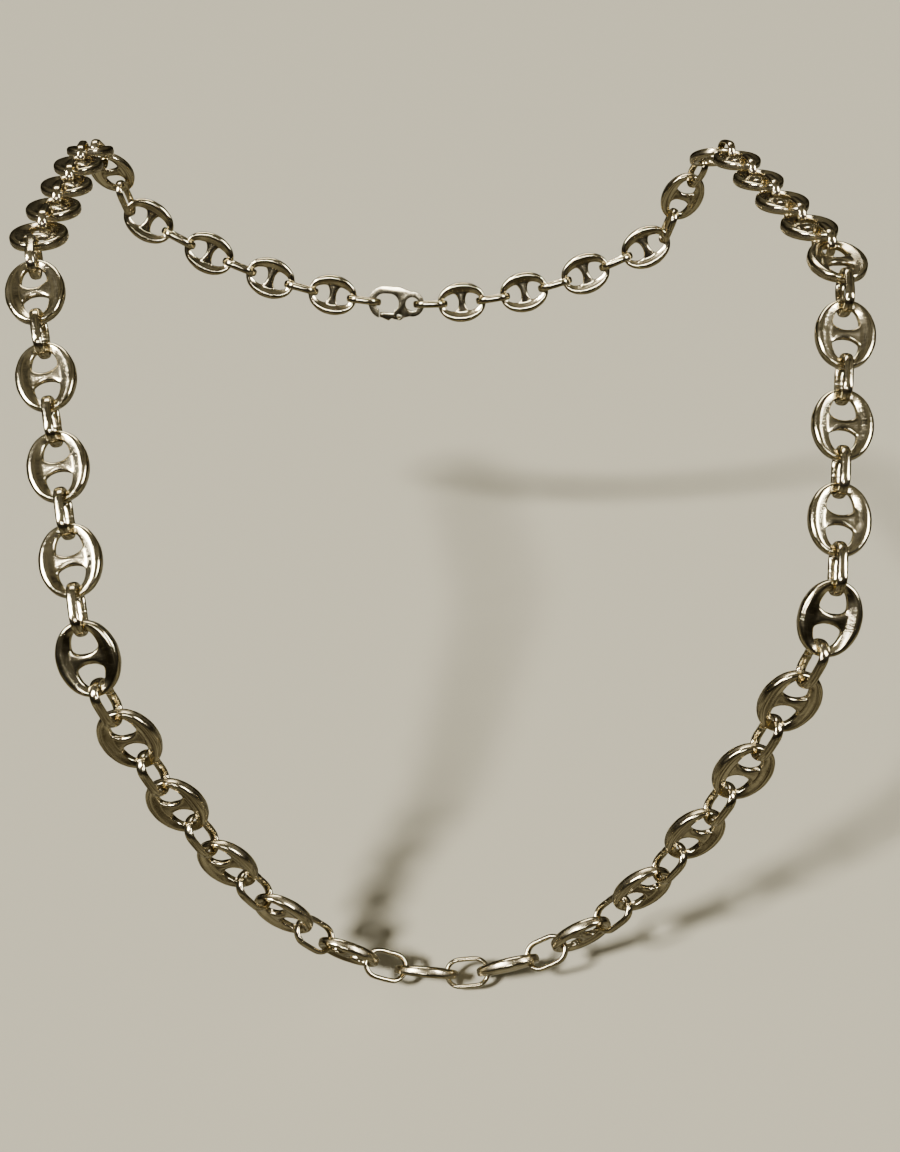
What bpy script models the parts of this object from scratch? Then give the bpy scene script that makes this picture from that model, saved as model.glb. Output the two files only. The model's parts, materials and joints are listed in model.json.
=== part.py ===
"""Draped puffed-mariner chain necklace: every free link a solid of its own.

Metres, +Z up.  The origin is where the two strands would cross the top front
edge of the stand, midway between them.  +X runs along that edge, +Y goes away
from the wearer, and the swag hangs below and in front of the origin.
"""
import math

import bmesh
import bpy
from mathutils import Matrix, Vector

MM = 0.001

# Puffed link: an oval of varying thickness with a recessed bar across it.
LINK_LENGTH = 10.8 * MM
LINK_WIDTH = 8.6 * MM
LINK_END = 1.2 * MM              # end bar, seen from the front
LINK_SIDE = 2.25 * MM            # side rim, seen from the front
LINK_SIDE_DEPTH = 1.8 * MM       # thickness of the puffed side
LINK_END_DEPTH = 1.25 * MM       # thickness of the end bar
CROSS_BAR = 1.25 * MM            # height of the cross bar at its middle
CROSS_BAR_DEPTH = 0.95 * MM
LINK_STATIONS = 16               # points round the oval, a multiple of four
STATION_SHIFT = 0.12             # radians, crowds the points towards the bar and the ends
RIM_ROUNDNESS = 0.95             # 1 is an ellipse, less is squarer
HOLE_ROUNDNESS = 0.80
RIM_SECTION = (                  # share of the way inwards, share of half the thickness
    (0.0, 0.0), (0.24, 0.92), (0.72, 0.92), (1.0, 0.0), (0.72, -0.92), (0.24, -0.92))
BAR_SECTION = (                  # shares of half the bar's height and thickness
    (-0.7, 0.8), (0.0, 1.0), (0.7, 0.8), (1.0, 0.0),
    (0.7, -0.8), (0.0, -1.0), (-0.7, -0.8), (-1.0, 0.0))

# Plain oval ring of flattened wire that joins two puffed links.
RING_LENGTH = 7.7 * MM
RING_WIDTH = 5.0 * MM
RING_WALL = 0.7 * MM             # wire, seen from the front
RING_DEPTH = 1.45 * MM           # wire, along the ring's own axis
RING_END_STEPS = 4               # facets round each end

CLEARANCE = 0.35 * MM            # between two pieces that touch

# Lobster clasp.
CLASP_WIDTH = 7.0 * MM
CLASP_DEPTH = 2.2 * MM
CLASP_CLEARANCE = 0.8 * MM       # its square edges need more room
PIVOT_CLEARANCE = 0.15 * MM
CLASP_WALL = 1.5 * MM
CLASP_EYE = 3.0 * MM             # hole that the last ring runs through
CLASP_EYE_RIM = 1.2 * MM         # metal round that hole
CLASP_MOUTH = 5.2 * MM           # clear length inside the claw
GATE_START = 0.9 * MM            # lower end of the opening that the lever closes
GATE_LENGTH = 3.26 * MM
SLOT_REACH = 2.85 * MM           # how far in from the side the lever's slot is cut
CUT_MARGIN = 0.8 * MM            # how far a cut runs on past the metal
RIVET_DIAMETER = 0.8 * MM
LEVER_EYE = 1.9 * MM             # round the rivet
LEVER_WIDTH = 1.2 * MM
LEVER_DEPTH = 1.3 * MM
LEVER_SPUR = 0.54 * MM           # thumb spur, past the lever's side
WELD_RADIUS = 0.6 * MM           # bead that joins a run made as one piece

# The drape: where the strands cross each edge of what they lie on.
LEFT_LOWER = Vector((-46.1, -46.3, -43.4)) * MM
LEFT_LIP = Vector((-46.9, -46.5, -39.2)) * MM
LEFT_EDGE = Vector((-60.2, 0.0, 1.3)) * MM
LEFT_BACK = Vector((-69.8, 78.0, 1.3)) * MM
LEFT_BEHIND = Vector((-58.0, 80.5, -48.0)) * MM
RIGHT_LOWER = Vector((52.6, -43.3, -38.9)) * MM
RIGHT_LIP = Vector((53.8, -43.0, -34.6)) * MM
RIGHT_EDGE = Vector((60.0, -3.1, 0.7)) * MM
RIGHT_BACK = Vector((54.7, 78.0, 0.7)) * MM
RIGHT_BEHIND = Vector((40.0, 80.5, -48.0)) * MM
LIP_ROUNDING = 4.3 * MM          # where the strands leave the stand to hang
EDGE_ROUNDING = 7.2 * MM         # along the front edge
BACK_ROUNDING = 20 * MM        # where the strands go down behind
SWAG_TILT = math.radians(38.0)   # how far the lowest links look down

LEFT_HANGING = 5                 # puffed links left of the bottom one, hanging
RIGHT_HANGING = 6
SIDE_LINKS = 11                  # puffed links a side made as single pieces
LEFT_SHOULDERS = 4               # link-and-ring pairs along the top
RIGHT_SHOULDERS = 5
BACK_SLACK = 1.15                # length of the run behind, over the gap it crosses

GOLD_TONE = (0.60, 0.55, 0.45, 1.0)


# ---------------------------------------------------------------- lengths
LINK_SPAN = LINK_LENGTH - 2 * LINK_END - CLEARANCE
RING_SPAN = RING_LENGTH - 2 * RING_WALL - CLEARANCE
PITCH = LINK_SPAN + RING_SPAN
CLASP_SPAN = CLASP_MOUTH + CLASP_WALL + CLASP_EYE - CLASP_CLEARANCE


# ------------------------------------------------------------------ drape
def hang(start, end, spans):
    """Joint points of rigid links hanging at rest between two points."""
    across = Vector((end.x - start.x, end.y - start.y, 0.0))
    reach, rise = across.length, end.z - start.z
    across.normalize()
    total = sum(spans)

    def steps(pull, lift):
        carried, found = 0.0, []
        for span in spans:
            force = Vector((pull, carried + span / 2 - lift))
            found.append(force.normalized() * span)
            carried += span
        return found

    def solve(low, high, too_high):
        for _ in range(60):
            middle = (low + high) / 2
            low, high = (low, middle) if too_high(middle) else (middle, high)
        return (low + high) / 2

    def lift_for(pull):
        return solve(-total, 2 * total,
                     lambda lift: sum(s.y for s in steps(pull, lift)) < rise)

    pull = solve(total * 1e-4, total * 20,
                 lambda p: sum(s.x for s in steps(p, lift_for(p))) > reach)
    points = [start.copy()]
    for step in steps(pull, lift_for(pull)):
        points.append(points[-1] + across * step.x + Vector((0, 0, step.y)))
    return points


def rounded_route(corners, roundings):
    """A fine polyline through straight runs with parabolic corners."""
    route = [corners[0].copy()]
    for before, corner, after, rounding in zip(corners, corners[1:], corners[2:], roundings):
        enter = corner + (before - corner).normalized() * rounding
        leave = corner + (after - corner).normalized() * rounding
        for step in range(25):
            t = step / 24
            route.append(enter * (1 - t) ** 2 + corner * (2 * t * (1 - t)) + leave * t ** 2)
    return route + [corners[-1].copy()]


def lay(route, spans):
    """Joint points of rigid links laid end to end along a route."""
    points, leg, here = [route[0].copy()], 0, route[0].copy()
    for span in spans:
        while (route[leg + 1] - points[-1]).length < span:
            leg += 1
            here = route[leg].copy()
        low, high = 0.0, 1.0
        for _ in range(50):
            middle = (low + high) / 2
            if (here.lerp(route[leg + 1], middle) - points[-1]).length < span:
                low = middle
            else:
                high = middle
        here = here.lerp(route[leg + 1], low)
        points.append(here.copy())
    return points


def placed(start, end, face):
    """Matrix with +Y from start to end and +Z as near to face as it can be."""
    along = (end - start).normalized()
    normal = (face - along * face.dot(along)).normalized()
    side = along.cross(normal)
    turn = Matrix((side, along, normal)).transposed().to_4x4()
    return Matrix.Translation((start + end) / 2) @ turn


# ---------------------------------------------------------------- shapes
def metal():
    made = bpy.data.materials.new("warm_polished_metal")
    made.use_nodes = True
    shader = made.node_tree.nodes["Principled BSDF"]
    shader.inputs["Base Color"].default_value = GOLD_TONE
    shader.inputs["Metallic"].default_value = 1.0
    shader.inputs["Roughness"].default_value = 0.14
    return made


def finish_mesh(name, shape):
    bmesh.ops.recalc_face_normals(shape, faces=shape.faces)
    mesh = bpy.data.meshes.new(name)
    shape.to_mesh(mesh)
    shape.free()
    mesh.materials.append(METAL)
    mesh.shade_smooth()
    mesh.set_sharp_from_angle(angle=math.radians(50))
    return mesh


def power(value, exponent):
    return math.copysign(abs(value) ** exponent, value)


def loop_faces(shape, first, second):
    """Quads between two closed loops of the same number of points."""
    for i in range(len(first)):
        j = (i + 1) % len(first)
        shape.faces.new((first[i], first[j], second[j], second[i]))


def puffed_link_mesh():
    """Oval rim with a recessed cross bar, drawn in XY and long in Y."""
    shape = bmesh.new()
    outer = Vector((LINK_WIDTH / 2, LINK_LENGTH / 2))
    inner = outer - Vector((LINK_SIDE, LINK_END))
    quarter = LINK_STATIONS // 4
    stations = []
    for i in range(LINK_STATIONS):
        turn = 2 * math.pi * i / LINK_STATIONS
        turn -= STATION_SHIFT * math.sin(4 * turn)
        c, s = math.cos(turn), math.sin(turn)
        rim = Vector((outer.x * power(c, RIM_ROUNDNESS), outer.y * power(s, RIM_ROUNDNESS)))
        hole = Vector((inner.x * power(c, HOLE_ROUNDNESS), inner.y * power(s, HOLE_ROUNDNESS)))
        half = (LINK_SIDE_DEPTH * c * c + LINK_END_DEPTH * s * s) / 2
        ring = []
        for inward, height in RIM_SECTION:
            flat = rim.lerp(hole, inward)
            ring.append(shape.verts.new((flat.x, flat.y, height * half)))
        stations.append(ring)
    bar_sides = {0: (-1, 0, 1), 2 * quarter: (1, 0, -1)}
    at_bar = {LINK_STATIONS - 1, 0, 2 * quarter - 1, 2 * quarter}
    for i in range(LINK_STATIONS):
        j = (i + 1) % LINK_STATIONS
        for k in range(6):
            if k in (2, 3) and i in at_bar:
                continue
            m = (k + 1) % 6
            shape.faces.new((stations[i][k], stations[j][k], stations[j][m], stations[i][m]))
    mouths = []
    for centre, order in bar_sides.items():
        low, mid, high = (stations[(centre + o) % LINK_STATIONS] for o in order)
        mouths.append([low[2], mid[2], high[2], high[3], high[4], mid[4], low[4], low[3]])
    y, z = CROSS_BAR / 2, CROSS_BAR_DEPTH / 2
    waist = [shape.verts.new((0, a * y, b * z)) for a, b in BAR_SECTION]
    loop_faces(shape, mouths[0], waist)
    loop_faces(shape, waist, mouths[1])
    bmesh.ops.delete(shape, geom=[v for v in shape.verts if not v.link_faces], context='VERTS')
    return finish_mesh("puffed_link", shape)


def oval_points(length, width, steps):
    """A stadium outline in XY, long in Y, with the same number of facets at each end."""
    radius, straight = width / 2, (length - width) / 2
    points = []
    for centre, start in ((straight, 0.0), (-straight, math.pi)):
        for i in range(steps + 1):
            turn = start + math.pi * i / steps
            points.append((Vector((radius * math.cos(turn), centre + radius * math.sin(turn))),
                           Vector((math.cos(turn), math.sin(turn)))))
    return points


def ring_mesh():
    """Closed oval ring of flattened wire, its axis along Z."""
    shape = bmesh.new()
    section = ((0.0, -0.5), (0.5, -0.28), (0.5, 0.28), (0.0, 0.5), (-0.5, 0.28), (-0.5, -0.28))
    loops = []
    for point, out in oval_points(RING_LENGTH - RING_WALL, RING_WIDTH - RING_WALL, RING_END_STEPS):
        loops.append([shape.verts.new((*(point + out * (a * RING_WALL)), b * RING_DEPTH))
                      for a, b in section])
    for first, second in zip(loops, loops[1:] + loops[:1]):
        loop_faces(shape, first, second)
    return finish_mesh("ring", shape)


def prism(name, outline, depth):
    """A closed plate from an outline in XY, centred on its own thickness."""
    shape = bmesh.new()
    lower = [shape.verts.new((x, y, -depth / 2)) for x, y in outline]
    upper = [shape.verts.new((x, y, depth / 2)) for x, y in outline]
    shape.faces.new(lower[::-1])
    shape.faces.new(upper)
    loop_faces(shape, lower, upper)
    return finish_mesh(name, shape)


def bead_mesh():
    shape = bmesh.new()
    bmesh.ops.create_icosphere(shape, subdivisions=1, radius=WELD_RADIUS)
    return finish_mesh("bead", shape)


# ----------------------------------------------------------------- nodes
def node(name, mesh, matrix, parent=None):
    made = bpy.data.objects.new(name, mesh)
    bpy.context.collection.objects.link(made)
    if parent is not None:
        made.parent = parent
        made.matrix_parent_inverse = parent.matrix_world.inverted()
    made.matrix_basis = matrix
    return made


def axis_empty(name, place, parent=None):
    made = node(name, None, Matrix.Translation(place), parent)
    made.empty_display_size = 3 * MM
    bpy.context.view_layer.update()
    return made


def helper(name, mesh, matrix):
    made = node(name, mesh, matrix)
    made.hide_render = True
    made.display_type = 'WIRE'
    return made


def combine(target, tool, operation):
    change = target.modifiers.new(operation.lower(), 'BOOLEAN')
    change.operation = operation
    change.solver = 'EXACT'
    change.object = tool


def shared_point(first, second):
    """The contact point of two neighbouring pieces."""
    ends = (first.start, first.end)
    return min((second.start, second.end), key=lambda p: min((p - end).length for end in ends))


def fused_run(name, pieces):
    """Neighbouring links joined at their contact points into one solid."""
    run = node(name, pieces[0].mesh, pieces[0].matrix)
    for number, (before, piece) in enumerate(zip(pieces, pieces[1:]), 1):
        bead = Matrix.Translation(shared_point(before, piece))
        combine(run, helper(f"{name}_bead_{number}", BEAD, bead), 'UNION')
        combine(run, helper(f"{name}_piece_{number}", piece.mesh, piece.matrix), 'UNION')
    return run


# ----------------------------------------------------------------- clasp
def arc(centre, radius, first, last, steps):
    """Points round part of a circle, angles in degrees."""
    return [(centre[0] + radius * math.cos(math.radians(first + (last - first) * i / steps)),
             centre[1] + radius * math.sin(math.radians(first + (last - first) * i / steps)))
            for i in range(steps + 1)]


def circle(centre, radius, facets):
    return arc(centre, radius, 0, 360 - 360 / facets, facets - 1)


def rectangle(low, high):
    return ((low[0], low[1]), (high[0], low[1]), (high[0], high[1]), (low[0], high[1]))


def clasp(start, end, face):
    """Claw body, sprung lever and rivet between two contact points."""
    half = CLASP_WIDTH / 2
    inside = half - CLASP_WALL
    eye = (0.0, CLASP_SPAN + CLASP_CLEARANCE - CLASP_EYE / 2)
    frame = placed(start, end, face)
    frame = frame @ Matrix.Translation((0, -(CLASP_SPAN + CLASP_CLEARANCE) / 2, 0))
    outline = (arc((0, inside), half, 180, 360, 14) + [(half, CLASP_MOUTH)]
               + arc(eye, CLASP_EYE / 2 + CLASP_EYE_RIM, -10, 190, 12) + [(-half, CLASP_MOUTH)])
    body = node("clasp_body", prism("clasp_body", outline, CLASP_DEPTH), frame)

    through = CLASP_DEPTH * 2
    pivot = Vector((half - CLASP_WALL / 2, CLASP_MOUTH + LEVER_WIDTH / 5, 0))
    pin_room = RIVET_DIAMETER / 2 + PIVOT_CLEARANCE
    gate = rectangle((inside - CUT_MARGIN, GATE_START), (half + CUT_MARGIN, GATE_START + GATE_LENGTH))
    slot_end = pivot.y + LEVER_EYE / 2 + PIVOT_CLEARANCE
    slot = rectangle((half - SLOT_REACH, GATE_START), (half + CUT_MARGIN, slot_end))
    hollow = arc((0, inside), inside, 180, 360, 12) + arc((0, CLASP_MOUTH - inside), inside, 0, 180, 12)
    cuts = {"hollow": (hollow, through),
            "eye_hole": (circle(eye, CLASP_EYE / 2, 20), through),
            "gate": (gate, through),
            "slot": (slot, LEVER_DEPTH + 2 * PIVOT_CLEARANCE),
            "bore": (circle(pivot, pin_room, 12), through)}
    for name, (shape, depth) in cuts.items():
        combine(body, helper(f"clasp_{name}", prism(name, shape, depth), frame), 'DIFFERENCE')

    at_pivot = frame @ Matrix.Translation(pivot)
    hinge = axis_empty("clasp_lever_axis", frame @ pivot)
    side = LEVER_WIDTH / 2
    tip = GATE_START + PIVOT_CLEARANCE - pivot.y
    outline = (arc((0, 0), LEVER_EYE / 2, -40, 220, 12)
               + [(-side, tip), (side * 0.7, tip), (side, tip * 0.85),
                  (side + LEVER_SPUR, tip * 0.52), (side, tip * 0.40)])
    lever = node("clasp_lever", prism("clasp_lever", outline, LEVER_DEPTH), at_pivot, hinge)
    bore = prism("lever_bore", circle((0, 0), pin_room, 12), through)
    combine(lever, helper("lever_bore", bore, at_pivot), 'DIFFERENCE')
    node("clasp_rivet", prism("clasp_rivet", circle((0, 0), RIVET_DIAMETER / 2, 12), CLASP_DEPTH), at_pivot)


# -------------------------------------------------------------- assembly
class Piece:
    """One link or ring of the chain: its kind, contact points and facing."""

    def __init__(self, kind, start, end, normal):
        self.kind, self.start, self.end = kind, start, end
        along = (end - start).normalized()
        self.normal = (normal - along * normal.dot(along)).normalized()
        face = self.normal if kind == "link" else along.cross(self.normal)
        self.matrix = placed(start, end, face)
        self.mesh = LINK if kind == "link" else RING


def resting_normal(start, end):
    """Straight out of whatever the strand lies on."""
    return (end - start).cross(Vector((1, 0, 0)))


def swag_normal(share):
    """Forwards at the edges, turning down towards the lowest link."""
    tilt = SWAG_TILT * math.cos(share * math.pi / 2) ** 1.5
    return Vector((0, -math.cos(tilt), -math.sin(tilt)))


def spans_of(kinds):
    lengths = {"link": LINK_SPAN, "ring": RING_SPAN, "clasp": CLASP_SPAN}
    return [lengths[kind] for kind in kinds]


def strand(side, corners, hanging, shoulders):
    """Everything that lies on the stand, from the lower edge to the back."""
    links = SIDE_LINKS - hanging + shoulders
    kinds = ["link", "ring"] * (links + 1)
    spans = spans_of(kinds)
    route = rounded_route(corners, (LIP_ROUNDING, EDGE_ROUNDING, BACK_ROUNDING))
    route.append(route[-1] + (route[-1] - route[-2]).normalized() * sum(spans))
    points = lay(route, spans)
    laid = [Piece(kind, b, a, resting_normal(b, a)) for kind, a, b in zip(kinds, points, points[1:])]
    single = 2 * (SIDE_LINKS - hanging) - 1
    for i, piece in enumerate(laid[:single]):
        number = hanging + 1 + (i + 1) // 2
        node(f"{side}_{piece.kind}_{number:02d}", piece.mesh, piece.matrix)
    for number in range(shoulders):
        ring, link = laid[single + 2 * number:single + 2 * number + 2]
        fused_run(f"{side}_shoulder_{number + 1}", [ring, link])
    return laid[2 * links - 1:]


def swag():
    """The free loop, as rigid links in balance, in three nested swings."""
    kinds = ["ring", "link"] * (LEFT_HANGING + RIGHT_HANGING + 1) + ["ring"]
    points = hang(LEFT_LOWER, RIGHT_LOWER, spans_of(kinds))
    lowest = 2 * LEFT_HANGING + 1
    pieces = []
    for i, (kind, a, b) in enumerate(zip(kinds, points, points[1:])):
        side_count = lowest + 1 if i <= lowest else len(kinds) - lowest
        pieces.append(Piece(kind, a, b, swag_normal(abs(i - lowest) / side_count)))

    def name_of(i):
        if i == lowest:
            return "bottom_link"
        side, away = ("left", lowest - i) if i < lowest else ("right", i - lowest)
        return f"{side}_{pieces[i].kind}_{(away + 1) // 2:02d}"

    levels = {"upper": (0, len(pieces) - 1), "middle": (4, len(pieces) - 5), "lower": (8, len(pieces) - 9)}
    parent = None
    for level, (left, right) in levels.items():
        place = (pieces[left].start + pieces[right].end) / 2
        parent = axis_empty(f"swing_{level}_axis", place, parent)
        inner = 4 if level != "lower" else None
        members = range(left, right + 1) if inner is None else (
            *range(left, left + inner), *range(right - inner + 1, right + 1))
        for i in members:
            node(name_of(i), pieces[i].mesh, pieces[i].matrix, parent)


def back(left_over, right_over):
    """The run behind the stand, with the clasp at its middle."""
    left_end, right_end = left_over[-1].start, right_over[-1].start
    length = (right_end - left_end).length * BACK_SLACK
    half = ["link", "ring"] * round((length - CLASP_SPAN) / (2 * PITCH))
    kinds = half + ["clasp"] + half[::-1]
    points = hang(left_end, right_end, spans_of(kinds))
    pieces = []
    for kind, a, b in zip(kinds, points, points[1:]):
        pieces.append((kind, a, b) if kind == "clasp" else Piece(kind, a, b, Vector((0, -1, 0.3))))
    middle = len(half)

    fused_run("back_run_left", left_over + pieces[:middle - 1])
    node("end_ring", pieces[middle - 1].mesh, pieces[middle - 1].matrix)
    clasp(pieces[middle][1], pieces[middle][2], Vector((0, -1, 0.3)))
    fused_run("back_run_right", right_over + pieces[:middle:-1])


def main():
    left_over = strand("left", (LEFT_LOWER, LEFT_LIP, LEFT_EDGE, LEFT_BACK, LEFT_BEHIND),
                       LEFT_HANGING, LEFT_SHOULDERS)
    right_over = strand("right", (RIGHT_LOWER, RIGHT_LIP, RIGHT_EDGE, RIGHT_BACK, RIGHT_BEHIND),
                        RIGHT_HANGING, RIGHT_SHOULDERS)
    swag()
    back(left_over, right_over)


for old in list(bpy.data.objects):
    bpy.data.objects.remove(old)
METAL = metal()
LINK = puffed_link_mesh()
RING = ring_mesh()
BEAD = bead_mesh()
main()
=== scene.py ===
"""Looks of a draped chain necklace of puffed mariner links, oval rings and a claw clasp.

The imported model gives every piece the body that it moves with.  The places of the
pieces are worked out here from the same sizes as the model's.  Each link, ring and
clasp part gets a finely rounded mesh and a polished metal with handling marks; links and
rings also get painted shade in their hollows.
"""
import json
import math

import bmesh
import bpy
from bpy.props import FloatProperty, FloatVectorProperty, IntProperty, PointerProperty
from mathutils import Matrix, Vector

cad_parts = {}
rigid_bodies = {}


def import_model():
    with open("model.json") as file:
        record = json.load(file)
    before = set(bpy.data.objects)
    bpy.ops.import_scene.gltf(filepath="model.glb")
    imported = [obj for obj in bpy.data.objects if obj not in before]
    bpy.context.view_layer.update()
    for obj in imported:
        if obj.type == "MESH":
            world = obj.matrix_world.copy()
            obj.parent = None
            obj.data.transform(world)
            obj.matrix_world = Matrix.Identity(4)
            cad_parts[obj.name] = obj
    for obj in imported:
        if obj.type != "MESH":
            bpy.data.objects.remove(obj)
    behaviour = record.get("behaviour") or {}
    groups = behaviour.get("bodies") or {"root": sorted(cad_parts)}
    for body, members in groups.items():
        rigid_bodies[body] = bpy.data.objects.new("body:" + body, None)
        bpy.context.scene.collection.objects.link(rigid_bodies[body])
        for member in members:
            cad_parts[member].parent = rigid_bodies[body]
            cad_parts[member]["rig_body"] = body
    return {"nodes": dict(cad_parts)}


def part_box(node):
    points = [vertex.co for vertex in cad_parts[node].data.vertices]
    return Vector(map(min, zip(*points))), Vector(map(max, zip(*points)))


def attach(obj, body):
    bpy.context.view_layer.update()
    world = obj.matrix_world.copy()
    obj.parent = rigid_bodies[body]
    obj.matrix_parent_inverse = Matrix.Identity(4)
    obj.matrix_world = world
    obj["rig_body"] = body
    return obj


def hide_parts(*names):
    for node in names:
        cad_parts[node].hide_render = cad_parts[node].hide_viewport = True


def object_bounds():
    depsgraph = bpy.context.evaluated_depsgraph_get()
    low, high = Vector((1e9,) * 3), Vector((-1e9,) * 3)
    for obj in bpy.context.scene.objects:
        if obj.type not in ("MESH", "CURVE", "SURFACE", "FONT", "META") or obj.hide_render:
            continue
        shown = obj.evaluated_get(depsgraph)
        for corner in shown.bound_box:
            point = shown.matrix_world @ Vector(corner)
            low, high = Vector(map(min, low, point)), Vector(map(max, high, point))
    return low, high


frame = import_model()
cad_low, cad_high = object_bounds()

bl_info = {
    "name": "Puffed Mariner Necklace",
    "version": (1, 0, 0),
    "blender": (4, 5, 0),
    "location": "3D View > Sidebar > Necklace",
    "description": "Builds the polished links, rings and clasp of a draped chain necklace",
    "category": "Add Mesh",
}

MM = 0.001
HANG_HALVINGS = 60                # steps of the search for how a swag hangs
LAY_HALVINGS = 50                 # steps of the search for the next joint point on a route
CORNER_STEPS = 24                 # straight pieces in a rounded corner
GRAIN_STEP = (0.0137, 0.0071, 0.0113)  # shifts the marks from one piece to the next


def length_property(name, description, millimetres):
    return FloatProperty(name=name, description=description, default=millimetres * MM,
                         min=0.0, precision=5, subtype='DISTANCE', unit='LENGTH')


def place_property(name, description, millimetres):
    return FloatVectorProperty(name=name, description=description, precision=5,
                               default=[value * MM for value in millimetres],
                               subtype='TRANSLATION', unit='LENGTH')


def colour_property(name, description, colour):
    return FloatVectorProperty(name=name, description=description, default=colour, size=3,
                               min=0.0, max=1.0, subtype='COLOR')


# ------------------------------------------------------------- properties
class ChainSizes(bpy.types.PropertyGroup):
    link_length: length_property("Link Length", "Puffed link, over its end bars", 10.8)
    link_width: length_property("Link Width", "Puffed link, over its side rims", 8.6)
    link_end: length_property("End Bar", "Width of the end bar from the front", 1.2)
    link_side: length_property("Side Rim", "Width of the puffed side rim from the front", 2.25)
    link_side_depth: length_property("Side Depth", "Thickness of the puffed side rim", 1.8)
    link_end_depth: length_property("End Depth", "Thickness of the end bar", 1.3)
    cross_bar: length_property("Cross Bar", "Height of the cross bar at its middle", 1.5)
    cross_bar_depth: length_property("Cross Bar Depth", "Thickness of the cross bar", 1.1)
    bar_flare: length_property("Bar Flare", "Half height of the bar where it meets the rims", 1.5)
    ring_length: length_property("Ring Length", "Oval ring, outside", 7.7)
    ring_width: length_property("Ring Width", "Oval ring, outside", 5.0)
    ring_wall: length_property("Ring Wall", "Wire of the ring, seen from the front", 0.7)
    ring_depth: length_property("Ring Depth", "Wire of the ring, along the ring's axis", 1.45)
    clearance: length_property("Clearance", "Gap that the chain's spans are worked out with", 0.35)
    snug: length_property("Snug", "How much each touching wire is thickened to close the gap", 0.05)


class ClaspSizes(bpy.types.PropertyGroup):
    width: length_property("Width", "Claw, across its crown", 7.0)
    depth: length_property("Depth", "Thickness of the claw", 2.2)
    clearance: length_property("Clearance", "Room round the rings that it holds", 0.8)
    pivot_clearance: length_property("Pivot Clearance", "Play round the rivet and the lever", 0.15)
    wall: length_property("Wall", "Wall of the claw", 1.5)
    eye: length_property("Eye", "Hole that the last ring runs through", 3.0)
    eye_rim: length_property("Eye Rim", "Metal round that hole", 1.2)
    mouth: length_property("Mouth", "Clear length inside the claw", 5.2)
    gate_start: length_property("Gate Start", "Lower end of the opening that the lever closes", 0.9)
    gate_length: length_property("Gate Length", "Of the opening that the lever closes", 3.26)
    slot_reach: length_property("Slot Reach", "How far in the lever's slot is cut", 2.85)
    cut_margin: length_property("Cut Margin", "How far a cut runs on past the metal", 0.8)
    rivet: length_property("Rivet", "Diameter of the rivet", 0.8)
    lever_eye: length_property("Lever Eye", "Boss of the lever round the rivet", 1.9)
    lever_width: length_property("Lever Width", "Arm of the lever", 1.2)
    lever_depth: length_property("Lever Depth", "Thickness of the lever", 1.3)
    lever_spur: length_property("Lever Spur", "Thumb spur, past the lever's side", 0.54)


class DrapePlaces(bpy.types.PropertyGroup):
    left_lower: place_property("Left Lower", "Where the left strand starts to hang", (-46.1, -46.3, -43.4))
    left_lip: place_property("Left Lip", "Lower corner under the left strand", (-46.9, -46.5, -39.2))
    left_edge: place_property("Left Edge", "Top front corner under the left strand", (-60.2, 0.0, 1.3))
    left_back: place_property("Left Back", "Back corner under the left strand", (-69.8, 78.0, 1.3))
    left_behind: place_property("Left Behind", "Direction of the left strand behind", (-58.0, 80.5, -48.0))
    right_lower: place_property("Right Lower", "Where the right strand starts to hang", (52.6, -43.3, -38.9))
    right_lip: place_property("Right Lip", "Lower corner under the right strand", (53.8, -43.0, -34.6))
    right_edge: place_property("Right Edge", "Top front corner under the right strand", (60.0, -3.1, 0.7))
    right_back: place_property("Right Back", "Back corner under the right strand", (54.7, 78.0, 0.7))
    right_behind: place_property("Right Behind", "Direction of the right strand behind", (40.0, 80.5, -48.0))
    lip_rounding: length_property("Lip Rounding", "Rounding of the lower corner", 4.3)
    edge_rounding: length_property("Edge Rounding", "Rounding of the top front corner", 7.2)
    back_rounding: length_property("Back Rounding", "Rounding of the back corner", 20.0)
    swag_tilt: FloatProperty(name="Swag Tilt", description="How far the lowest links look down",
                             default=math.radians(38.0), subtype='ANGLE', unit='ROTATION')
    left_hanging: IntProperty(name="Left Hanging", description="Free links left of the lowest", default=5)
    right_hanging: IntProperty(name="Right Hanging", description="Free links right of the lowest", default=6)
    side_links: IntProperty(name="Side Links", description="Single links on each side", default=11)
    left_shoulders: IntProperty(name="Left Shoulders", description="Link and ring pairs on top", default=4)
    right_shoulders: IntProperty(name="Right Shoulders", description="Link and ring pairs on top", default=5)
    back_slack: FloatProperty(name="Back Slack", default=1.15,
                              description="Length of the run behind, over the gap it crosses")


class FinishColours(bpy.types.PropertyGroup):
    bright: colour_property("Bright Metal", "Freshly polished metal", (0.60, 0.535, 0.375))
    warm: colour_property("Warm Metal", "Handled, slightly toned metal", (0.50, 0.435, 0.285))
    # dark colour of the shade painted into the links' hollows and the rings' ends; the seams reuse it for
    # their real dark joint lines
    recess: colour_property("Recess Tone", "Painted shade held in hollows and joints", (0.12, 0.09, 0.05))
    roughness: FloatProperty(name="Roughness", description="Of a clean polished face", default=0.09,
                             min=0.0, max=1.0, subtype='FACTOR')
    scratch_depth: length_property("Scratch Depth", "Of the fine handling marks", 0.002)
    ripple_depth: length_property("Ripple Depth", "Of the soft waves left by polishing", 0.008)


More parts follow.
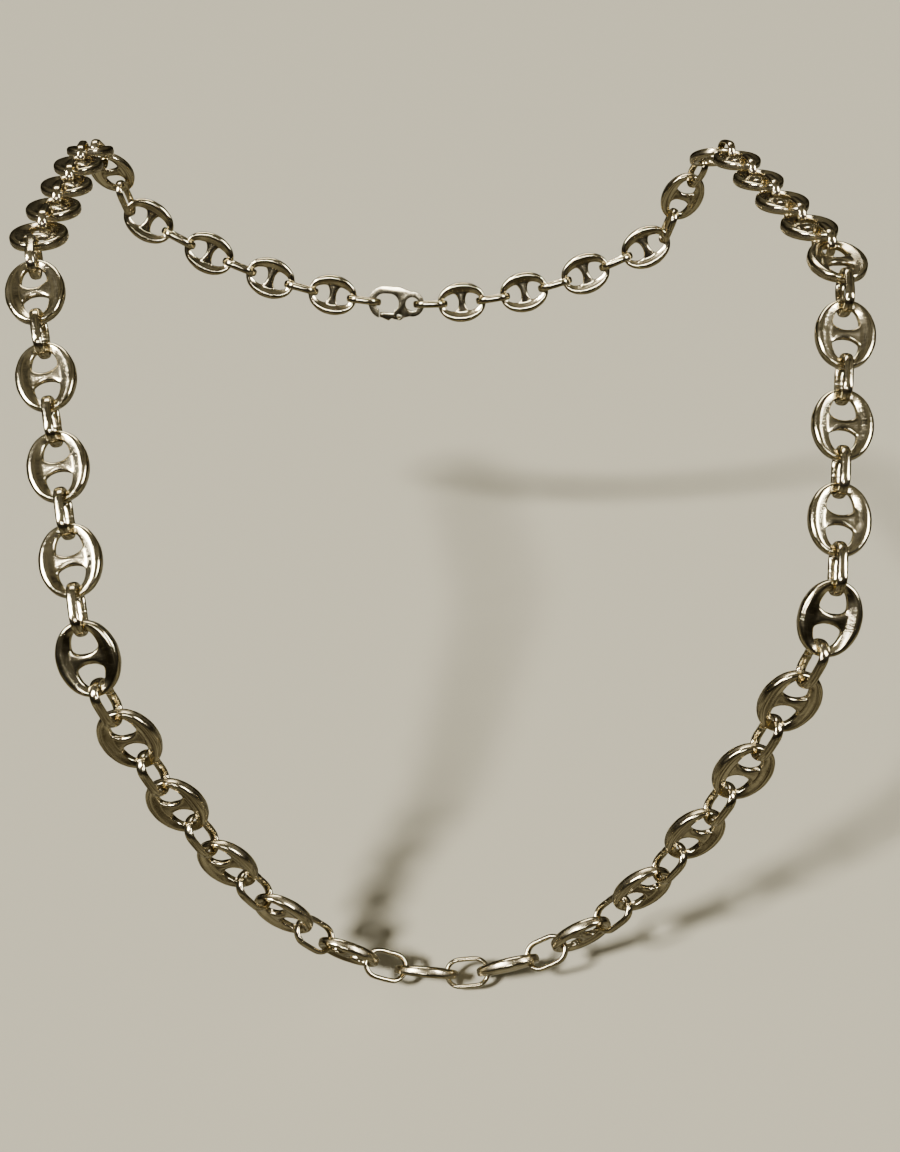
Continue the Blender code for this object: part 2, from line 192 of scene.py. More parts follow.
class StageSettings(bpy.types.PropertyGroup):
    floor_colour: colour_property("Floor", "Pale warm floor", (0.62, 0.595, 0.49))
    backdrop: colour_property("Backdrop", "Beyond the floor's edge", (0.60, 0.585, 0.53))
    room_dark: colour_property("Room Shade", "Darkest tone that the metal reflects", (0.010, 0.008, 0.004))
    room_light: colour_property("Room Light", "Lit parts of the room in the metal", (0.25, 0.225, 0.155))
    ground_dark: colour_property("Ground Shade", "Shaded ground in the metal", (0.055, 0.043, 0.022))
    ground_light: colour_property("Ground Light", "Lit ground in the metal", (0.38, 0.35, 0.25))
    floor_gap: length_property("Floor Gap", "Floor below the lowest link", 0.4)
    camera_place: place_property("Camera", "Where the camera stands", (2.0, -168.0, 56.0))
    camera_down: FloatProperty(name="Looking Down", description="Camera's angle below the horizon",
                               default=math.radians(33.74), subtype='ANGLE', unit='ROTATION')
    camera_lens: FloatProperty(name="Lens", description="Focal length in millimetres", default=35.94)


# ------------------------------------------------------------------ drape
def hang(start, end, spans):
    """Joint points of rigid links hanging at rest between two points."""
    across = Vector((end.x - start.x, end.y - start.y, 0.0))
    reach, rise = across.length, end.z - start.z
    across.normalize()
    total = sum(spans)

    def steps(pull, lift):
        carried, found = 0.0, []
        for span in spans:
            force = Vector((pull, carried + span / 2 - lift))
            found.append(force.normalized() * span)
            carried += span
        return found

    def solve(low, high, too_high):
        for _ in range(HANG_HALVINGS):
            middle = (low + high) / 2
            low, high = (low, middle) if too_high(middle) else (middle, high)
        return (low + high) / 2

    def lift_for(pull):
        return solve(-total, 2 * total,
                     lambda lift: sum(s.y for s in steps(pull, lift)) < rise)

    pull = solve(total * 1e-4, total * 20,
                 lambda p: sum(s.x for s in steps(p, lift_for(p))) > reach)
    points = [start.copy()]
    for step in steps(pull, lift_for(pull)):
        points.append(points[-1] + across * step.x + Vector((0, 0, step.y)))
    return points


def rounded_route(corners, roundings):
    """A fine polyline through straight runs with parabolic corners."""
    route = [corners[0].copy()]
    for before, corner, after, rounding in zip(corners, corners[1:], corners[2:], roundings):
        enter = corner + (before - corner).normalized() * rounding
        leave = corner + (after - corner).normalized() * rounding
        for step in range(CORNER_STEPS + 1):
            t = step / CORNER_STEPS
            route.append(enter * (1 - t) ** 2 + corner * (2 * t * (1 - t)) + leave * t ** 2)
    return route + [corners[-1].copy()]


def lay(route, spans):
    """Joint points of rigid links laid end to end along a route."""
    points, leg, here = [route[0].copy()], 0, route[0].copy()
    for span in spans:
        while (route[leg + 1] - points[-1]).length < span:
            leg += 1
            here = route[leg].copy()
        low, high = 0.0, 1.0
        for _ in range(LAY_HALVINGS):
            middle = (low + high) / 2
            if (here.lerp(route[leg + 1], middle) - points[-1]).length < span:
                low = middle
            else:
                high = middle
        here = here.lerp(route[leg + 1], low)
        points.append(here.copy())
    return points


def placed(start, end, face):
    """Matrix with +Y from start to end and +Z as near to face as it can be."""
    along = (end - start).normalized()
    normal = (face - along * face.dot(along)).normalized()
    side = along.cross(normal)
    turn = Matrix((side, along, normal)).transposed().to_4x4()
    return Matrix.Translation((start + end) / 2) @ turn


class Piece:
    """One link or ring: its kind, place, the node it stands for and its own name."""

    def __init__(self, kind, start, end, normal):
        self.kind, self.start, self.end = kind, start, end
        along = (end - start).normalized()
        self.normal = (normal - along * normal.dot(along)).normalized()
        face = self.normal if kind == "link" else along.cross(self.normal)
        self.matrix = placed(start, end, face)
        self.node = self.name = ""

    def called(self, node, name=None):
        self.node, self.name = node, name or f"{node}_polished"
        return self


class Chain:
    """Every link and ring of the draped necklace, worked out as the model's own are."""

    def __init__(self, sizes, clasp, drape):
        self.drape, self.pieces, self.clasp_ends = drape, [], None
        self.spans = {
            "link": sizes.link_length - 2 * sizes.link_end - sizes.clearance,
            "ring": sizes.ring_length - 2 * sizes.ring_wall - sizes.clearance,
            "clasp": clasp.mouth + clasp.wall + clasp.eye - clasp.clearance,
        }
        left = self.strand("left", drape.left_hanging, drape.left_shoulders)
        right = self.strand("right", drape.right_hanging, drape.right_shoulders)
        self.swag()
        self.back(left, right)

    def spans_of(self, kinds):
        return [self.spans[kind] for kind in kinds]

    def strand(self, side, hanging, shoulders):
        """What lies on the stand on one side. Gives back the pieces laid over the back edge."""
        drape = self.drape
        corners = [Vector(getattr(drape, f"{side}_{place}"))
                   for place in ("lower", "lip", "edge", "back", "behind")]
        links = drape.side_links - hanging + shoulders
        kinds = ["link", "ring"] * (links + 1)
        spans = self.spans_of(kinds)
        route = rounded_route(corners, (drape.lip_rounding, drape.edge_rounding, drape.back_rounding))
        route.append(route[-1] + (route[-1] - route[-2]).normalized() * sum(spans))
        points = lay(route, spans)
        laid = [Piece(kind, b, a, (a - b).cross(Vector((1, 0, 0))))
                for kind, a, b in zip(kinds, points, points[1:])]
        single = 2 * (drape.side_links - hanging) - 1
        for i, piece in enumerate(laid[:single]):
            self.pieces.append(piece.called(f"{side}_{piece.kind}_{hanging + 1 + (i + 1) // 2:02d}"))
        for i, piece in enumerate(laid[single:2 * links - 1]):
            node = f"{side}_shoulder_{i // 2 + 1}"
            self.pieces.append(piece.called(node, f"{node}_{piece.kind}"))
        return laid[2 * links - 1:]

    def swag(self):
        """The free loop between the two strands."""
        drape = self.drape
        kinds = ["ring", "link"] * (drape.left_hanging + drape.right_hanging + 1) + ["ring"]
        points = hang(Vector(drape.left_lower), Vector(drape.right_lower), self.spans_of(kinds))
        lowest = 2 * drape.left_hanging + 1
        tilt_falloff = 1.5
        for i, (kind, a, b) in enumerate(zip(kinds, points, points[1:])):
            side_count = lowest + 1 if i <= lowest else len(kinds) - lowest
            share = abs(i - lowest) / side_count
            tilt = drape.swag_tilt * math.cos(share * math.pi / 2) ** tilt_falloff
            piece = Piece(kind, a, b, Vector((0, -math.cos(tilt), -math.sin(tilt))))
            side, away = ("left", lowest - i) if i < lowest else ("right", i - lowest)
            node = f"{side}_{kind}_{(away + 1) // 2:02d}" if away else "bottom_link"
            self.pieces.append(piece.called(node))

    def back(self, left_over, right_over):
        """The run behind the stand, with the clasp at its middle."""
        left_end, right_end = left_over[-1].start, right_over[-1].start
        length = (right_end - left_end).length * self.drape.back_slack
        pair = self.spans["link"] + self.spans["ring"]
        half = ["link", "ring"] * round((length - self.spans["clasp"]) / (2 * pair))
        kinds = half + ["clasp"] + half[::-1]
        points = hang(left_end, right_end, self.spans_of(kinds))
        facing = Vector((0, -1, 0.3))
        middle = len(half)
        run = [Piece("link" if kind == "clasp" else kind, a, b, facing)
               for kind, a, b in zip(kinds, points, points[1:])]
        self.clasp_ends = (run[middle].start, run[middle].end, facing)
        self.pieces.append(run[middle - 1].called("end_ring"))
        runs = {"back_run_left": left_over + run[:middle - 1],
                "back_run_right": right_over + run[:middle:-1]}
        for node, members in runs.items():
            for number, piece in enumerate(members, 1):
                self.pieces.append(piece.called(node, f"{node}_{number:02d}_{piece.kind}"))


# -------------------------------------------------------------- materials
class Socket:
    """A shader output that takes part in ordinary arithmetic."""

    def __init__(self, graph, output):
        self.graph, self.output = graph, output

    def math(self, operation, *values):
        sockets = dict(enumerate(values))
        return self.graph.add("ShaderNodeMath", {"operation": operation}, sockets)

    def __add__(self, other):
        return self.math('ADD', self, other)

    def __radd__(self, other):
        return self.math('ADD', other, self)

    def __mul__(self, other):
        return self.math('MULTIPLY', self, other)

    def __rmul__(self, other):
        return self.math('MULTIPLY', other, self)


class Graph:
    """A node tree that is written as expressions."""

    def __init__(self, tree):
        self.tree = tree
        tree.nodes.clear()

    def add(self, kind, settings=None, sockets=None, output=0):
        """A node of a kind, with its settings, then its sockets' values or links."""
        made = self.tree.nodes.new(kind)
        for name, value in (settings or {}).items():
            if name == "stops":
                ramp = made.color_ramp
                ramp.elements[0].position, ramp.elements[1].position = value[0][0], value[-1][0]
                for position, _ in value[1:-1]:
                    ramp.elements.new(position)
                for element, (_, grey) in zip(ramp.elements, value):
                    element.color = (grey, grey, grey, 1.0)
            else:
                setattr(made, name, value)
        for name, value in (sockets or {}).items():
            if isinstance(value, Socket):
                self.tree.links.new(value.output, made.inputs[name])
            else:
                made.inputs[name].default_value = value
        return Socket(self, made.outputs[output]) if made.outputs else made

    def mix(self, amount, first, second):
        """A colour between two colours."""
        colours = [value if isinstance(value, Socket) else (*value, 1.0) for value in (first, second)]
        return self.add("ShaderNodeMix", {"data_type": 'RGBA'},
                        {0: amount, 6: colours[0], 7: colours[1]}, output=2)

    def ramp(self, value, *stops):
        """A grey that follows a value. Each stop is a place and the grey there."""
        return self.add("ShaderNodeValToRGB", {"stops": stops}, {"Fac": value})


def polished_metal(name, colours, extra_roughness):
    """Warm polished metal: shade painted into hollows, smudges, soft ripples and fine scratches."""
    made = bpy.data.materials.new(name)
    made.use_nodes = True
    graph = Graph(made.node_tree)
    own = graph.add("ShaderNodeTexCoord", output="Object")
    shift = graph.add("ShaderNodeAttribute",
                      {"attribute_type": 'OBJECT', "attribute_name": "grain"}, output="Vector")
    place = graph.add("ShaderNodeVectorMath", {"operation": 'ADD'}, {0: own, 1: shift})
    # mask of the painted shade: high in the links' hollows and at the rings' ends
    recess = graph.add("ShaderNodeAttribute", {"attribute_name": "recess"}, output="Fac")
    seam = graph.add("ShaderNodeAttribute", {"attribute_name": "seam"}, output="Fac")

    def noise(scale, detail, vector=place):
        return graph.add("ShaderNodeTexNoise", None,
                         {"Vector": vector, "Scale": scale, "Detail": detail, "Roughness": 0.55})

    def stretched(turn, along):
        turned = graph.add("ShaderNodeMapping", None,
                           {"Vector": place, "Rotation": turn, "Scale": along})
        return graph.ramp(noise(1.0, 2.0, turned), (0.56, 0.0), (0.62, 1.0), (0.68, 0.0))

    smudge = graph.ramp(noise(420.0, 3.0), (0.38, 0.0), (0.66, 1.0))
    toning = noise(260.0, 2.0)
    ripple = noise(330.0, 1.0)
    scratches = (stretched((0.4, 0.2, 0.5), (700.0, 14000.0, 700.0))
                 + stretched((1.1, 0.5, 2.2), (500.0, 11000.0, 500.0)))

    metal = graph.mix(toning, tuple(colours.bright), tuple(colours.warm))
    # painted shade: the metal is darkened towards the dark colour where the shade mask is high
    shaded_metal = graph.mix(recess * (0.45 + 0.45 * toning), metal, tuple(colours.recess))
    # the seam is a real dark joint line, drawn in the same dark colour
    colour = graph.mix(seam * 0.55, shaded_metal, tuple(colours.recess))
    roughness = (colours.roughness + extra_roughness + smudge * 0.06 + recess * 0.10
                 + seam * 0.18 + scratches * 0.05)
    waves = graph.add("ShaderNodeBump", None,
                      {"Strength": 1.0, "Distance": colours.ripple_depth, "Height": ripple})
    marks = graph.add("ShaderNodeBump", None,
                      {"Strength": 0.6, "Distance": colours.scratch_depth,
                       "Height": scratches * -1.0, "Normal": waves})
    shader = graph.add("ShaderNodeBsdfPrincipled", None,
                       {"Base Color": colour, "Metallic": 1.0, "Roughness": roughness, "Normal": marks})
    graph.add("ShaderNodeOutputMaterial", None, {"Surface": shader})
    return made


def plain_floor(colour):
    """Pale matt floor."""
    made = bpy.data.materials.new("pale_floor")
    made.use_nodes = True
    graph = Graph(made.node_tree)
    shader = graph.add("ShaderNodeBsdfPrincipled", None,
                       {"Base Color": (*colour, 1.0), "Roughness": 0.9, "Specular IOR Level": 0.1})
    graph.add("ShaderNodeOutputMaterial", None, {"Surface": shader})
    return made


# ----------------------------------------------------------------- shapes
def power(value, exponent):
    return math.copysign(abs(value) ** exponent, value)


def loop_faces(shape, first, second):
    """Quads between two closed loops of the same number of points."""
    for i in range(len(first)):
        j = (i + 1) % len(first)
        shape.faces.new((first[i], first[j], second[j], second[i]))


def smooth_mesh(name, shape, levels, attributes=None):
    """A subdivided, smooth mesh from a control cage, with its painted masks."""
    bmesh.ops.delete(shape, geom=[v for v in shape.verts if not v.link_faces], context='VERTS')
    bmesh.ops.recalc_face_normals(shape, faces=shape.faces)
    cage = bpy.data.meshes.new(name)
    shape.to_mesh(cage)
    shape.free()
    for mask, values in (attributes or {}).items():
        layer = cage.attributes.new(mask, 'FLOAT', 'POINT')
        for vertex in cage.vertices:
            layer.data[vertex.index].value = values(vertex.co)
    carrier = bpy.data.objects.new(name, cage)
    bpy.context.collection.objects.link(carrier)
    divide = carrier.modifiers.new("subdivide", 'SUBSURF')
    divide.levels = divide.render_levels = levels
    return frozen(carrier)


def frozen(carrier):
    """The object's mesh with its modifiers worked in. The object itself is removed."""
    bpy.context.view_layer.update()
    graph = bpy.context.evaluated_depsgraph_get()
    mesh = bpy.data.meshes.new_from_object(carrier.evaluated_get(graph))
    mesh.name = carrier.name
    bpy.data.objects.remove(carrier)
    mesh.shade_smooth()
    return mesh


def link_mesh(sizes):
    """Puffed link in XY, long in Y: domed rims, an inner slope and a waisted cross bar."""
    shape = bmesh.new()
    swell = 1.012                     # makes up for what subdivision takes off
    outer = Vector((sizes.link_width, sizes.link_length)) / 2 * swell
    inner = Vector((sizes.link_width / 2 - sizes.link_side,
                    sizes.link_length / 2 - sizes.link_end - sizes.snug))
    rim_roundness, hole_roundness = 0.95, 0.80
    # how far in from the outer edge, and the share of the half thickness there
    front = ((0.0, 0.0), (0.01, 0.62), (0.16, 0.98), (0.42, 1.05),
             (0.70, 0.82), (0.92, 0.60), (1.0, 0.50), (1.0, 0.0))
    section = front + tuple((f, -h) for f, h in front[-2:0:-1])
    flare = math.asin((sizes.bar_flare / inner.y) ** (1 / hole_roundness))
    side_steps, end_steps = 4, 8
    side_turns = [flare * (2 * i / side_steps - 1) for i in range(side_steps)]
    end_turns = [flare + (math.pi - 2 * flare) * i / end_steps for i in range(end_steps)]
    turns = side_turns + end_turns
    opposite = len(turns)             # the station where the other side starts
    turns += [turn + math.pi for turn in turns]
    stations = []
    for turn in turns:
        c, s = math.cos(turn), math.sin(turn)
        rim = Vector((outer.x * power(c, rim_roundness), outer.y * power(s, rim_roundness)))
        hole = Vector((inner.x * power(c, hole_roundness), inner.y * power(s, hole_roundness)))
        half = (sizes.link_side_depth * c * c + sizes.link_end_depth * s * s) / 2
        stations.append([shape.verts.new((*rim.lerp(hole, f), h * half)) for f, h in section])
    count, rows = len(stations), len(section)
    mouth_row = 5                     # the point of the section where the cross bar's root starts
    mouth_back = rows - mouth_row
    opened = {*range(side_steps), *range(opposite, opposite + side_steps)}
    for i in range(count):
        j = (i + 1) % count
        for k in range(rows):
            if i in opened and mouth_row <= k < mouth_back:
                continue
            m = (k + 1) % rows
            shape.faces.new((stations[i][k], stations[j][k], stations[j][m], stations[i][m]))
    mouths = []
    for order in (range(side_steps + 1), range(opposite + side_steps, opposite - 1, -1)):
        side = [stations[i] for i in order]
        walls = range(mouth_row + 1, mouth_back)
        mouths.append([s[mouth_row] for s in side] + [side[-1][k] for k in walls]
                      + [s[mouth_back] for s in side[::-1]] + [side[0][k] for k in reversed(walls)])
    bar_swell, depth_swell = 1.08, 1.1
    half_bar = sizes.cross_bar / 2 * bar_swell
    half_depth = sizes.cross_bar_depth / 2 * depth_swell
    face = ((-0.78, 0.66), (-0.42, 0.93), (0.0, 1.04), (0.42, 0.93), (0.78, 0.66))
    edge = ((0.92, 0.46), (0.99, 0.24), (1.0, 0.0), (0.99, -0.24), (0.92, -0.46))
    waist = (*face, *edge, *((-a, -b) for a, b in face), *((-a, -b) for a, b in edge))
    before = mouths[0]
    widening, thickening = 2.4, 1.25  # a higher power leaves it later, nearer the rims
    for s in (0.82, 0.6, 0.36, 0.12, -0.12, -0.36, -0.6, -0.82):
        flared, risen = abs(s) ** widening, abs(s) ** thickening
        ends = mouths[0] if s >= 0 else mouths[1]
        column = []
        for end, (a, b) in zip(ends, waist):
            y = end.co.y * flared + a * half_bar * (1 - flared)
            z = end.co.z * risen + b * half_depth * (1 - risen)
            column.append(shape.verts.new((end.co.x * abs(s), y, z)))
        loop_faces(shape, before, column)
        before = column
    loop_faces(shape, before, mouths[1])

    def reach(co):
        """0 at the middle of the link and about 1 at its outer edge."""
        return Vector((co.x / outer.x, co.y / outer.y)).length

    # painted shade: strongest on the hole walls and cross bar near the link's middle plane, fading towards
    # the rims and faces
    def recess(co):
        crest, hollow_end, fade = sizes.link_side_depth * 0.42, 0.42, 0.2
        across = 1 - min(1.0, max(0.0, (reach(co) - hollow_end) / fade))
        return across * min(1.0, max(0.0, 1 - abs(co.z) / crest))

    def seam(co):
        edge_start, half_seam = 0.985, 0.05 * MM
        return 1.0 if reach(co) > edge_start and abs(co.z) < half_seam else 0.0

    return smooth_mesh("puffed_link", shape, 2, {"recess": recess, "seam": seam})


def ring_mesh(sizes):
    """Oval ring of flattened wire, its axis along Z, with a faint solder joint on one side."""
    shape = bmesh.new()
    wall_swell, depth_swell, joint_dip = 1.07, 1.05, 0.93
    wall = (sizes.ring_wall + sizes.snug) * wall_swell
    depth = sizes.ring_depth * depth_swell
    section = ((1.0, 0.40), (0.55, 0.94), (-0.55, 0.94), (-1.0, 0.40),
               (-1.0, -0.40), (-0.55, -0.94), (0.55, -0.94), (1.0, -0.40))
    radius = (sizes.ring_width - sizes.ring_wall) / 2
    straight = (sizes.ring_length - sizes.ring_width) / 2
    steps = 10
    path = []
    for centre, start in ((straight, 0.0), (-straight, math.pi)):
        for i in range(steps + 1):
            turn = start + math.pi * i / steps
            out = Vector((math.cos(turn), math.sin(turn)))
            path.append((Vector((0, centre)) + out * radius, out))
    joint = [(Vector((radius, y * straight)), Vector((1, 0))) for y in (-0.5, -0.08, 0.0, 0.08, 0.5)]
    path += joint
    loops = []
    for point, out in path:
        dip = joint_dip if point.y == 0.0 else 1.0
        loops.append([shape.verts.new((*(point + out * (a * dip * wall / 2)), b * dip * depth / 2))
                      for a, b in section])
    for first, second in zip(loops, loops[1:] + loops[:1]):
        loop_faces(shape, first, second)

    # painted shade: darker towards the ring's ends, where it passes through the links
    def recess(co):
        strength, start, fade = 0.35, 0.8, 0.2
        return strength * max(0.0, abs(co.y) / (sizes.ring_length / 2) - start) / fade

    def seam(co):
        half_joint = 0.04 * straight
        return 1.0 if abs(co.y) < half_joint and co.x > 0 else 0.0

    return smooth_mesh("oval_ring", shape, 2, {"recess": recess, "seam": seam})


def arc(centre, radius, first, last, steps):
    """Points round part of a circle, angles in degrees."""
    return [(centre[0] + radius * math.cos(math.radians(first + (last - first) * i / steps)),
             centre[1] + radius * math.sin(math.radians(first + (last - first) * i / steps)))
            for i in range(steps + 1)]


def prism(name, outline, depth):
    """An object: a closed plate from an outline in XY, centred on its own thickness."""
    shape = bmesh.new()
    lower = [shape.verts.new((x, y, -depth / 2)) for x, y in outline]
    upper = [shape.verts.new((x, y, depth / 2)) for x, y in outline]
    shape.faces.new(lower[::-1])
    shape.faces.new(upper)
    loop_faces(shape, lower, upper)
    bmesh.ops.recalc_face_normals(shape, faces=shape.faces)
    mesh = bpy.data.meshes.new(name)
    shape.to_mesh(mesh)
    shape.free()
    made = bpy.data.objects.new(name, mesh)
    bpy.context.collection.objects.link(made)
    return made


def circle(centre, radius, facets):
    return arc(centre, radius, 0, 360 - 360 / facets, facets - 1)


def rectangle(low, high):
    return ((low[0], low[1]), (high[0], low[1]), (high[0], high[1]), (low[0], high[1]))


def shaped(target, cuts, bevel, segments=3, sharp=math.radians(40)):
    """The target with the cuts taken out and its edges rounded, as a mesh."""
    for tool in cuts:
        cut = target.modifiers.new("cut", 'BOOLEAN')
        cut.operation, cut.solver, cut.object = 'DIFFERENCE', 'EXACT', tool
    edge = target.modifiers.new("edge", 'BEVEL')
    edge.width, edge.segments, edge.limit_method = bevel, segments, 'ANGLE'
    edge.angle_limit = sharp
    mesh = frozen(target)
    for tool in cuts:
        bpy.data.objects.remove(tool)
    mesh.set_sharp_from_angle(angle=sharp)
    return mesh


# ----------------------------------------------------------------- pieces
def show(name, mesh, matrix, material, node):
    """A piece in its place, standing for its node and riding on the node's body."""
    low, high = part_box(node)
    middle = matrix.translation
    slack = 0.5 * MM
    if any(not a - slack <= m <= b + slack for a, m, b in zip(low, middle, high)):
        raise RuntimeError(f"{name} would stand outside its node {node}")
    made = bpy.data.objects.new(name, mesh)
    bpy.context.collection.objects.link(made)
    made.matrix_world = matrix
    if not mesh.materials:
        mesh.materials.append(material)
    number = len(bpy.data.objects)
    made["grain"] = [number * step for step in GRAIN_STEP]
    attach(made, frame["nodes"][node]["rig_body"])
    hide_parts(node)


def chain_of(context):
    scene = context.scene
    return Chain(scene.necklace_chain, scene.necklace_clasp, scene.necklace_drape)


def chain_metal(colours):
    found = bpy.data.materials.get("polished_chain_metal")
    return found or polished_metal("polished_chain_metal", colours, 0.0)


class NECKLACE_OT_puffed_links(bpy.types.Operator):
    """Build every puffed mariner link of the chain"""
    bl_idname = "necklace.puffed_links"
    bl_label = "Puffed Links"

    def execute(self, context):
        mesh = link_mesh(context.scene.necklace_chain)
        metal = chain_metal(context.scene.necklace_finish)
        for piece in chain_of(context).pieces:
            if piece.kind == "link":
                show(piece.name, mesh, piece.matrix, metal, piece.node)
        return {'FINISHED'}


class NECKLACE_OT_oval_rings(bpy.types.Operator):
    """Build the oval rings that join the links, with the end ring of the clasp"""
    bl_idname = "necklace.oval_rings"
    bl_label = "Oval Rings"

    def execute(self, context):
        mesh = ring_mesh(context.scene.necklace_chain)
        metal = chain_metal(context.scene.necklace_finish)
        for piece in chain_of(context).pieces:
            if piece.kind == "ring":
                show(piece.name, mesh, piece.matrix, metal, piece.node)
        return {'FINISHED'}


class NECKLACE_OT_claw_clasp(bpy.types.Operator):
    """Build the claw clasp: its body, sprung lever and rivet"""
    bl_idname = "necklace.claw_clasp"
    bl_label = "Claw Clasp"

    def execute(self, context):
        size = context.scene.necklace_clasp
        start, end, facing = chain_of(context).clasp_ends
        duller = 0.04                 # added to the links' roughness
        metal = polished_metal("polished_clasp_metal", context.scene.necklace_finish, duller)
        crown_facets, hole_facets, lever_facets, bore_facets = 48, 40, 36, 24
        body_rounding, lever_rounding, rivet_rounding = 0.28 * MM, 0.16 * MM, 0.1 * MM
        span = size.mouth + size.wall + size.eye
        at = placed(start, end, facing) @ Matrix.Translation((0, -span / 2, 0))
        half, inside = size.width / 2, size.width / 2 - size.wall
        eye = (0.0, span - size.eye / 2)
        through = size.depth * 2
        outline = (arc((0, inside), half, 180, 360, crown_facets) + [(half, size.mouth)]
                   + arc(eye, size.eye / 2 + size.eye_rim, -10, 190, hole_facets)
                   + [(-half, size.mouth)])
        hollow = (arc((0, inside), inside, 180, 360, hole_facets)
                  + arc((0, size.mouth - inside), inside, 0, 180, hole_facets))
        pivot = (half - size.wall / 2, size.mouth + size.lever_width / 5)
        pin_room = size.rivet / 2 + size.pivot_clearance
        gate = rectangle((inside - size.cut_margin, size.gate_start),
                         (half + size.cut_margin, size.gate_start + size.gate_length))
        slot_end = pivot[1] + size.lever_eye / 2 + size.pivot_clearance
        slot = rectangle((half - size.slot_reach, size.gate_start), (half + size.cut_margin, slot_end))
        cuts = [
            prism("hollow", hollow, through),
            prism("eye_hole", circle(eye, size.eye / 2, hole_facets), through),
            prism("gate", gate, through),
            prism("slot", slot, size.lever_depth + 2 * size.pivot_clearance),
            prism("bore", circle(pivot, pin_room, bore_facets), through),
        ]
        body = shaped(prism("claw_body", outline, size.depth), cuts, body_rounding, 4)
        show("clasp_body_polished", body, at, metal, "clasp_body")

        turn = at @ Matrix.Translation((*pivot, 0))
        side = size.lever_width / 2
        tip = size.gate_start + size.pivot_clearance - pivot[1]
        outline = (arc((0, 0), size.lever_eye / 2, -40, 220, lever_facets)
                   + [(-side, tip), (side * 0.7, tip), (side, tip * 0.85),
                      (side + size.lever_spur, tip * 0.52), (side, tip * 0.40)])
        hole = prism("lever_bore", circle((0, 0), pin_room, bore_facets), through)
        lever = shaped(prism("claw_lever", outline, size.lever_depth), [hole], lever_rounding)
        show("clasp_lever_polished", lever, turn, metal, "clasp_lever")
        rod = prism("claw_rivet", circle((0, 0), size.rivet / 2, crown_facets), size.depth)
        rivet = shaped(rod, [], rivet_rounding)
        show("clasp_rivet_polished", rivet, turn, metal, "clasp_rivet")
        return {'FINISHED'}


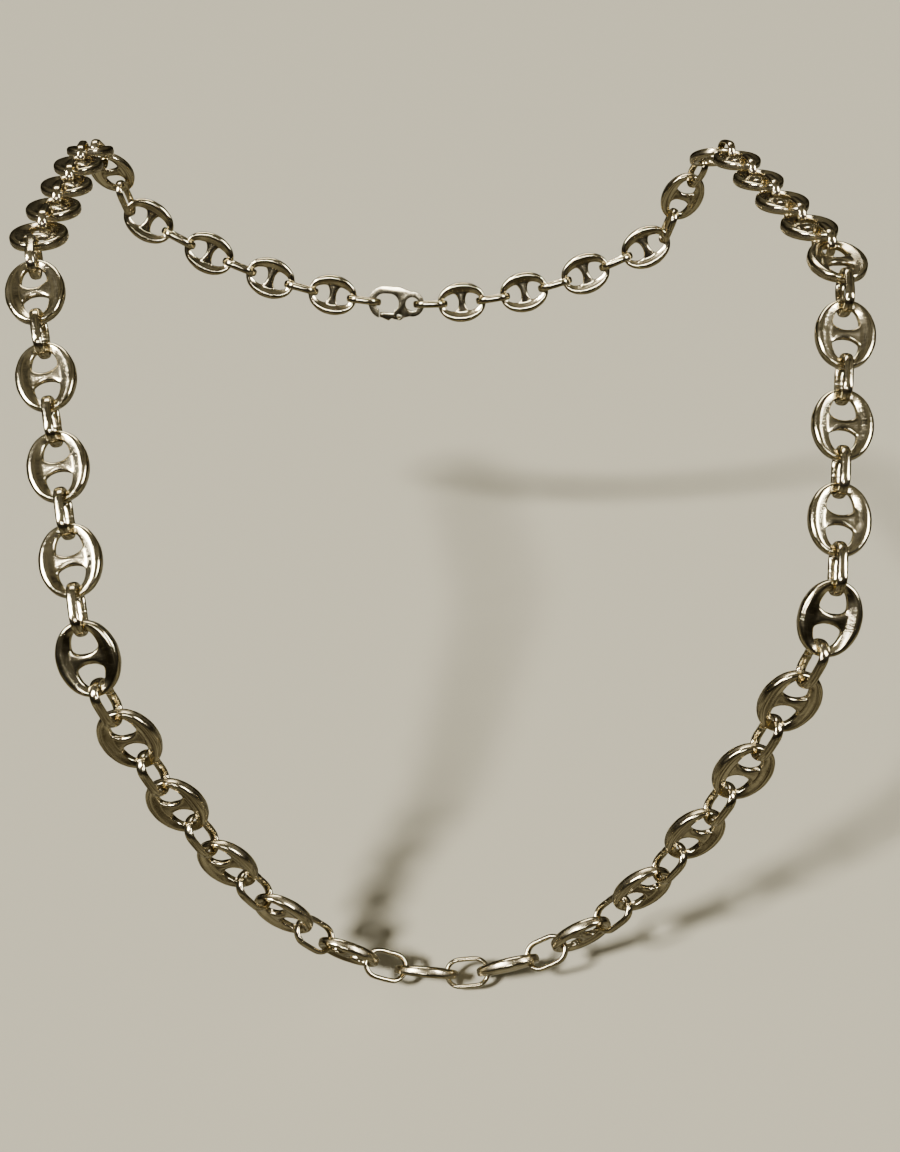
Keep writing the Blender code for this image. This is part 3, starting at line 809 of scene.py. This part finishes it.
class NECKLACE_OT_stage(bpy.types.Operator):
    """Set the floor, the soft lamps, the room's tone and the camera"""
    bl_idname = "necklace.stage"
    bl_label = "Stage"

    def lamp(self, name, place, aim, size, watts, colour):
        data = bpy.data.lights.new(name, 'AREA')
        data.shape = 'RECTANGLE'
        data.size, data.size_y = size
        data.energy, data.color = watts, colour
        made = bpy.data.objects.new(name, data)
        bpy.context.collection.objects.link(made)
        made.location = place
        made.visible_diffuse = False
        made.rotation_mode = 'QUATERNION'
        made.rotation_quaternion = (Vector(aim) - Vector(place)).to_track_quat('-Z', 'Y')

    def execute(self, context):
        settings = context.scene.necklace_stage
        floor_reach = 6.0
        shape = bmesh.new()
        bmesh.ops.create_grid(shape, x_segments=1, y_segments=1, size=floor_reach)
        mesh = bpy.data.meshes.new("floor")
        shape.to_mesh(mesh)
        shape.free()
        mesh.materials.append(plain_floor(settings.floor_colour))
        floor = bpy.data.objects.new("floor", mesh)
        bpy.context.collection.objects.link(floor)
        floor.location.z = cad_low.z - settings.floor_gap
        floor.visible_glossy = False

        middle = (cad_low + cad_high) / 2
        warm, white = (1.0, 0.95, 0.84), (1.0, 0.985, 0.95)
        # name, place, aim, width and height, watts, colour
        self.lamp("left_softbox", (-0.52, -0.36, 0.46), middle, (0.17, 0.36), 11.0, white)
        self.lamp("right_softbox", (0.54, -0.32, 0.44), middle, (0.14, 0.34), 8.5, white)
        self.lamp("front_strip", (-0.06, -0.62, 0.30), middle, (0.22, 0.05), 1.6, white)
        self.lamp("overhead", (-0.10, 0.40, 0.70), middle, (0.60, 0.20), 5.0, warm)
        sun = bpy.data.lights.new("window", 'SUN')
        sun.energy, sun.angle, sun.color = 5.6, math.radians(9.0), warm
        window = bpy.data.objects.new("window", sun)
        bpy.context.collection.objects.link(window)
        window.rotation_euler = (math.radians(28.0), math.radians(-34.0), 0.0)

        world = bpy.data.worlds.new("room")
        context.scene.world = world
        world.use_nodes = True
        graph = Graph(world.node_tree)
        outward = graph.add("ShaderNodeTexCoord", output="Generated")
        height = graph.add("ShaderNodeSeparateXYZ", None, {"Vector": outward}, output="Z")

        def patches(scale, start, end):
            cloud = graph.add("ShaderNodeTexNoise", None,
                              {"Vector": outward, "Scale": scale, "Detail": 2.0})
            return graph.ramp(cloud, (start, 0.0), (end, 1.0))

        level = height * 0.5 + 0.5    # 0 straight down, 0.5 at the horizon, 1 straight up
        ceiling = graph.ramp(level, (0.54, 0.0), (0.88, 1.0))
        dimmest = 0.12
        lit = ceiling * (dimmest + (1 - dimmest) * patches(5.0, 0.45, 0.60))
        room = graph.mix(lit, tuple(settings.room_dark), tuple(settings.room_light))
        sunlit = patches(4.6, 0.42, 0.58)
        ground = graph.mix(sunlit, tuple(settings.ground_dark), tuple(settings.ground_light))
        above = graph.ramp(level, (0.34, 0.0), (0.46, 1.0))
        reflected = graph.mix(above, ground, room)
        sight = graph.add("ShaderNodeLightPath", output="Is Camera Ray")
        seen = graph.mix(sight, reflected, tuple(settings.backdrop))
        light = graph.add("ShaderNodeBackground", None, {"Color": seen, "Strength": 1.0})
        graph.add("ShaderNodeOutputWorld", None, {"Surface": light})

        data = bpy.data.cameras.new("camera")
        data.lens, data.sensor_width, data.clip_start = settings.camera_lens, 36.0, 1 * MM
        camera = bpy.data.objects.new("camera", data)
        bpy.context.collection.objects.link(camera)
        camera.location = settings.camera_place
        camera.rotation_euler = (math.pi / 2 - settings.camera_down, 0.0, 0.0)
        context.scene.camera = camera
        return {'FINISHED'}


class NECKLACE_PT_panel(bpy.types.Panel):
    """Lists the necklace's pieces and stage"""
    bl_label = "Chain Necklace"
    bl_idname = "NECKLACE_PT_panel"
    bl_space_type = 'VIEW_3D'
    bl_region_type = 'UI'
    bl_category = "Necklace"

    def draw(self, context):
        for operator in OPERATORS:
            self.layout.operator(operator.bl_idname)
        for name, group in GROUPS.items():
            box = self.layout.box()
            for key in group.__annotations__:
                box.prop(getattr(context.scene, name), key)


OPERATORS = (NECKLACE_OT_puffed_links, NECKLACE_OT_oval_rings, NECKLACE_OT_claw_clasp, NECKLACE_OT_stage)
GROUPS = {
    "necklace_chain": ChainSizes,
    "necklace_clasp": ClaspSizes,
    "necklace_drape": DrapePlaces,
    "necklace_finish": FinishColours,
    "necklace_stage": StageSettings,
}


def register():
    for part in (*GROUPS.values(), *OPERATORS, NECKLACE_PT_panel):
        bpy.utils.register_class(part)
    for name, group in GROUPS.items():
        setattr(bpy.types.Scene, name, PointerProperty(type=group))


def unregister():
    for name in GROUPS:
        delattr(bpy.types.Scene, name)
    for part in (NECKLACE_PT_panel, *reversed(OPERATORS), *reversed(GROUPS.values())):
        bpy.utils.unregister_class(part)


def main():
    register()
    bpy.ops.necklace.puffed_links()
    bpy.ops.necklace.oval_rings()
    bpy.ops.necklace.claw_clasp()
    bpy.ops.necklace.stage()


if __name__ == "__main__":
    main()
